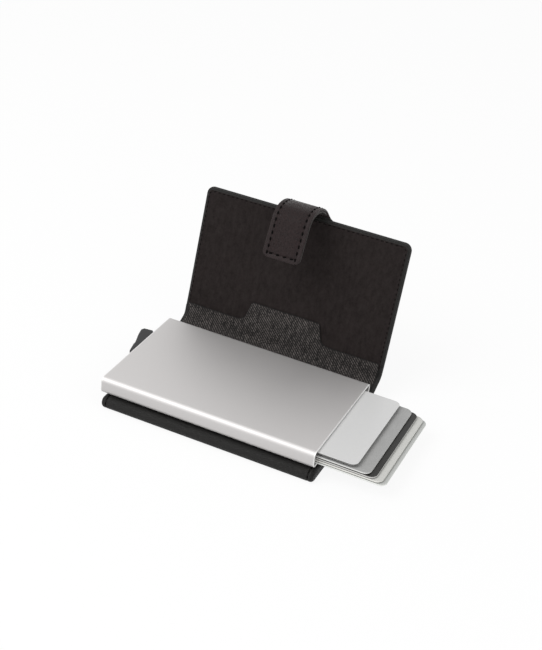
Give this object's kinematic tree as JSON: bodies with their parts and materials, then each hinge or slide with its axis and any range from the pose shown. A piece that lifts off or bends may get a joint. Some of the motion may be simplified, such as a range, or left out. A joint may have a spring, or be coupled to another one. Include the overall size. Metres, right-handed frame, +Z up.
{
  "type": "leather card holder",
  "caption": "Aluminium card case with a side lever that fans the cards out, fixed to a leather base with a folding leather cover, a canvas pocket and a wrap-over strap.",
  "frame": {"origin": "on the flat underside of the leather base, below the middle of the card case", "axes": "+X the way the cards slide out, +Y towards the fold of the cover, +Z up through the case"},
  "size_m": [0.1397, 0.0939, 0.0819],
  "materials": {
    "satin_aluminium": "satin, fine grain",
    "dark_plastic": "matt",
    "lever_plastic": "matt",
    "pin_steel": "ground",
    "grip_felt": "short pile",
    "card_print_1": "satin print",
    "card_print_2": "satin print",
    "card_print_3": "satin print",
    "card_print_4": "satin print",
    "card_print_5": "satin print",
    "adhesive_foam": "matt",
    "black_leather": "fine grain",
    "board_grey": "raw grey board",
    "magnet_nickel": "plated",
    "grey_canvas": "woven",
    "cover_board": "raw grey board",
    "cover_lining": "brushed",
    "strap_lining": "smooth",
    "strap_magnet_nickel": "plated"
  },
  "bodies": {
    "base": {"case_tube": "satin_aluminium", "end_cap": "dark_plastic", "lever_pin": "pin_steel", "card_grip_front": "grip_felt", "card_grip_rear": "grip_felt", "case_pad": "adhesive_foam", "base_leather": "black_leather", "base_board": "board_grey", "base_magnet": "magnet_nickel"},
    "spine": {"spine_leather": "black_leather", "spine_lining": "grey_canvas"},
    "cover": {"cover_leather": "black_leather", "cover_board": "cover_board", "cover_lining": "cover_lining", "pocket_panel": "grey_canvas"},
    "strap_band": {"strap_band_leather": "black_leather", "strap_band_lining": "strap_lining"},
    "strap_tip": {"strap_tip_leather": "black_leather", "strap_tip_lining": "strap_lining", "strap_magnet": "strap_magnet_nickel"},
    "lever": {"ejector_lever": "lever_plastic"},
    "card_1": {"card_1": "card_print_1"},
    "card_2": {"card_2": "card_print_2"},
    "card_3": {"card_3": "card_print_3"},
    "card_4": {"card_4": "card_print_4"},
    "card_5": {"card_5": "card_print_5"}
  },
  "joints": [
    {"name": "spine_fold", "type": "hinge", "parent": "base", "child": "spine", "pos_m": [0.001, 0.0332, 0.005], "axis": [1, 0, 0], "range_deg": [-27.07, 62.93]},
    {"name": "cover_fold", "type": "hinge", "parent": "spine", "child": "cover", "pos_m": [0.001, 0.04504, 0.01105], "axis": [1, 0, 0], "range_deg": [-49.36, 40.64]},
    {"name": "strap_root", "type": "hinge", "parent": "cover", "child": "strap_band", "pos_m": [0.001, 0.06019, 0.07385], "axis": [1, 0, 0], "range_deg": [-62, 0]},
    {"name": "strap_crease", "type": "hinge", "parent": "strap_band", "child": "strap_tip", "pos_m": [0.001, 0.04038, 0.08014], "axis": [1, 0, 0], "range_deg": [-78, 12]},
    {"name": "lever_swing", "type": "hinge", "parent": "base", "child": "lever", "pos_m": [-0.0415, 0.0005, 0.0108], "axis": [0, 0, 1], "range_deg": [0, 78.05]},
    {"name": "card_slide_1", "type": "slide", "parent": "base", "child": "card_1", "axis": [1, 0, 0], "range_m": [-0.01822, 0]},
    {"name": "card_slide_2", "type": "slide", "parent": "base", "child": "card_2", "axis": [1, 0, 0], "range_m": [-0.02412, 0]},
    {"name": "card_slide_3", "type": "slide", "parent": "base", "child": "card_3", "axis": [1, 0, 0], "range_m": [-0.02682, 0]},
    {"name": "card_slide_4", "type": "slide", "parent": "base", "child": "card_4", "axis": [1, 0, 0], "range_m": [-0.02972, 0]},
    {"name": "card_slide_5", "type": "slide", "parent": "base", "child": "card_5", "axis": [1, 0, 0], "range_m": [-0.0314, 0]}
  ],
  "couplings": [
    {"joint": "card_slide_1", "follows": "card_slide_5", "ratio": 0.57962},
    {"joint": "card_slide_2", "follows": "card_slide_5", "ratio": 0.76752},
    {"joint": "card_slide_3", "follows": "card_slide_5", "ratio": 0.8535},
    {"joint": "card_slide_4", "follows": "card_slide_5", "ratio": 0.94586},
    {"joint": "lever_swing", "follows": "card_slide_5", "rad_per_m": -43.355}
  ]
}
